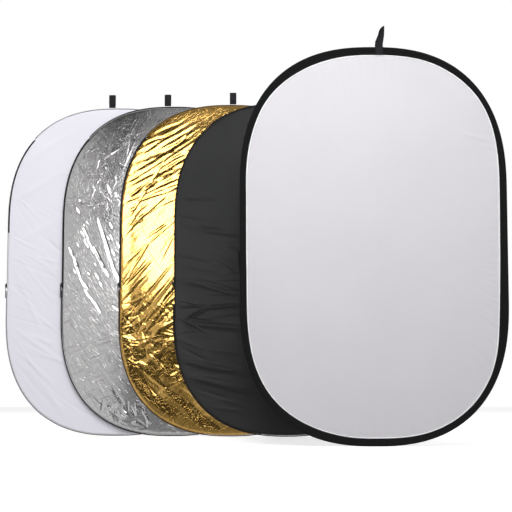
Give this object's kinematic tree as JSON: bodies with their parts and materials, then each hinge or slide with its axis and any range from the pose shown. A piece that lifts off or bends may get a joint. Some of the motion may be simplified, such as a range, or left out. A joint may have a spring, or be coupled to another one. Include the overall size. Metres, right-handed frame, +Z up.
{
  "type": "collapsible reflector set",
  "caption": "Fanned row of oval collapsible reflectors: a bare translucent disc before zip-covered black, gold, silver and white discs, each on a spring-steel band with a hang loop.",
  "frame": {"origin": "centre of the row's footprint, on the floor that the discs stand on", "axes": "+X along the row towards the translucent disc, +Y towards the back of the row, +Z up"},
  "size_m": [1.2578, 0.5892, 0.9506],
  "materials": {
    "binding_fabric": "matt black woven nylon tape",
    "diffuser_nylon": "translucent white ripstop nylon",
    "black_nylon": "satin black coated nylon",
    "white_nylon": "matt white nylon",
    "silver_foil": "crinkled silver foil laminated to cloth",
    "gold_foil": "crinkled gold foil laminated to cloth",
    "webbing": "black ribbed webbing",
    "black_piping": "black overlocked edge",
    "gold_piping": "brown-gold overlocked edge",
    "white_piping": "grey-white overlocked edge",
    "zip_tape": "black zip tape and nylon coil",
    "zip_metal": "black enamelled zinc",
    "spring_steel": "blued flat spring steel",
    "ferrule_metal": "crimped brass sleeve"
  },
  "bodies": {
    "diffuser_lower": {"diffuser_band_lower": "spring_steel", "diffuser_band_ferrule": "ferrule_metal", "diffuser_binding_lower": "binding_fabric", "diffuser_binding_join": "binding_fabric", "diffuser_panel_lower": "diffuser_nylon"},
    "diffuser_upper": {"diffuser_band_upper": "spring_steel", "diffuser_binding_upper": "binding_fabric", "diffuser_panel_upper": "diffuser_nylon", "diffuser_loop_tail": "webbing"},
    "diffuser_loop": {"diffuser_hang_loop": "webbing"},
    "black_disc": {"black_spring_band": "spring_steel", "black_band_ferrule": "ferrule_metal", "black_core_binding": "binding_fabric", "black_core_panel": "diffuser_nylon", "black_front_sheet": "black_nylon", "black_back_sheet": "silver_foil", "black_piping": "black_piping", "black_zip_chain": "zip_tape"},
    "black_slider": {"black_zip_slider": "zip_metal"},
    "black_pull": {"black_zip_pull": "zip_metal"},
    "black_loop": {"black_hang_loop": "webbing"},
    "gold_disc": {"gold_spring_band": "spring_steel", "gold_band_ferrule": "ferrule_metal", "gold_core_binding": "binding_fabric", "gold_core_panel": "diffuser_nylon", "gold_front_sheet": "gold_foil", "gold_back_sheet": "white_nylon", "gold_piping": "gold_piping", "gold_zip_chain": "zip_tape"},
    "gold_slider": {"gold_zip_slider": "zip_metal"},
    "gold_pull": {"gold_zip_pull": "zip_metal"},
    "gold_loop": {"gold_hang_loop": "webbing"},
    "silver_disc": {"silver_spring_band": "spring_steel", "silver_band_ferrule": "ferrule_metal", "silver_core_binding": "binding_fabric", "silver_core_panel": "diffuser_nylon", "silver_front_sheet": "silver_foil", "silver_back_sheet": "black_nylon", "silver_piping": "black_piping", "silver_zip_chain": "zip_tape"},
    "silver_slider": {"silver_zip_slider": "zip_metal"},
    "silver_pull": {"silver_zip_pull": "zip_metal"},
    "silver_loop": {"silver_hang_loop": "webbing"},
    "white_disc": {"white_spring_band": "spring_steel", "white_band_ferrule": "ferrule_metal", "white_core_binding": "binding_fabric", "white_core_panel": "diffuser_nylon", "white_front_sheet": "white_nylon", "white_back_sheet": "gold_foil", "white_piping": "white_piping", "white_zip_chain": "zip_tape"},
    "white_slider": {"white_zip_slider": "zip_metal"},
    "white_pull": {"white_zip_pull": "zip_metal"},
    "white_loop": {"white_hang_loop": "webbing"}
  },
  "joints": [
    {"name": "diffuser_fold", "type": "hinge", "parent": "diffuser_lower", "child": "diffuser_upper", "pos_m": [0.32895, -0.29347, 0.45], "axis": [1, 0, 0], "range_deg": [0, 150], "stiffness_Nm_per_rad": 2},
    {"name": "diffuser_loop_tip", "type": "hinge", "parent": "diffuser_upper", "child": "diffuser_loop", "pos_m": [0.34465, -0.28787, 0.9015], "axis": [1, 0, 0], "range_deg": [-75, 75], "stiffness_Nm_per_rad": 0.004},
    {"name": "black_lift", "type": "slide", "parent": "diffuser_lower", "child": "black_disc", "axis": [0, 0, 1], "range_m": [0, 0.95]},
    {"name": "black_loop_tip", "type": "hinge", "parent": "black_disc", "child": "black_loop", "pos_m": [0.14645, 0.23112, 0.9141], "axis": [1, 0, 0], "range_deg": [-85, 85], "stiffness_Nm_per_rad": 0.004},
    {"name": "black_zip_travel", "type": "slide", "parent": "black_disc", "child": "black_slider", "axis": [0, 0, 1], "range_m": [0, 0.16]},
    {"name": "black_pull_swing", "type": "hinge", "parent": "black_slider", "child": "black_pull", "pos_m": [-0.16125, 0.23112, 0.4133], "axis": [0, 1, 0], "range_deg": [0, 170]},
    {"name": "gold_lift", "type": "slide", "parent": "diffuser_lower", "child": "gold_disc", "axis": [0, 0, 1], "range_m": [0, 0.95]},
    {"name": "gold_loop_tip", "type": "hinge", "parent": "gold_disc", "child": "gold_loop", "pos_m": [0.00225, 0.25012, 0.9141], "axis": [1, 0, 0], "range_deg": [-85, 85], "stiffness_Nm_per_rad": 0.004},
    {"name": "gold_zip_travel", "type": "slide", "parent": "gold_disc", "child": "gold_slider", "axis": [0, 0, 1], "range_m": [0, 0.16]},
    {"name": "gold_pull_swing", "type": "hinge", "parent": "gold_slider", "child": "gold_pull", "pos_m": [-0.31195, 0.25012, 0.4133], "axis": [0, 1, 0], "range_deg": [0, 170]},
    {"name": "silver_lift", "type": "slide", "parent": "diffuser_lower", "child": "silver_disc", "axis": [0, 0, 1], "range_m": [0, 0.95]},
    {"name": "silver_loop_tip", "type": "hinge", "parent": "silver_disc", "child": "silver_loop", "pos_m": [-0.17975, 0.26913, 0.9141], "axis": [1, 0, 0], "range_deg": [-85, 85], "stiffness_Nm_per_rad": 0.004},
    {"name": "silver_zip_travel", "type": "slide", "parent": "silver_disc", "child": "silver_slider", "axis": [0, 0, 1], "range_m": [0, 0.16]},
    {"name": "silver_pull_swing", "type": "hinge", "parent": "silver_slider", "child": "silver_pull", "pos_m": [-0.47195, 0.26913, 0.4133], "axis": [0, 1, 0], "range_deg": [0, 170]},
    {"name": "white_lift", "type": "slide", "parent": "diffuser_lower", "child": "white_disc", "axis": [0, 0, 1], "range_m": [0, 0.95]},
    {"name": "white_loop_tip", "type": "hinge", "parent": "white_disc", "child": "white_loop", "pos_m": [-0.33685, 0.28813, 0.9141], "axis": [1, 0, 0], "range_deg": [-85, 85], "stiffness_Nm_per_rad": 0.004},
    {"name": "white_zip_travel", "type": "slide", "parent": "white_disc", "child": "white_slider", "axis": [0, 0, 1], "range_m": [0, 0.16]},
    {"name": "white_pull_swing", "type": "hinge", "parent": "white_slider", "child": "white_pull", "pos_m": [-0.62705, 0.28813, 0.4133], "axis": [0, 1, 0], "range_deg": [0, 170]}
  ]
}
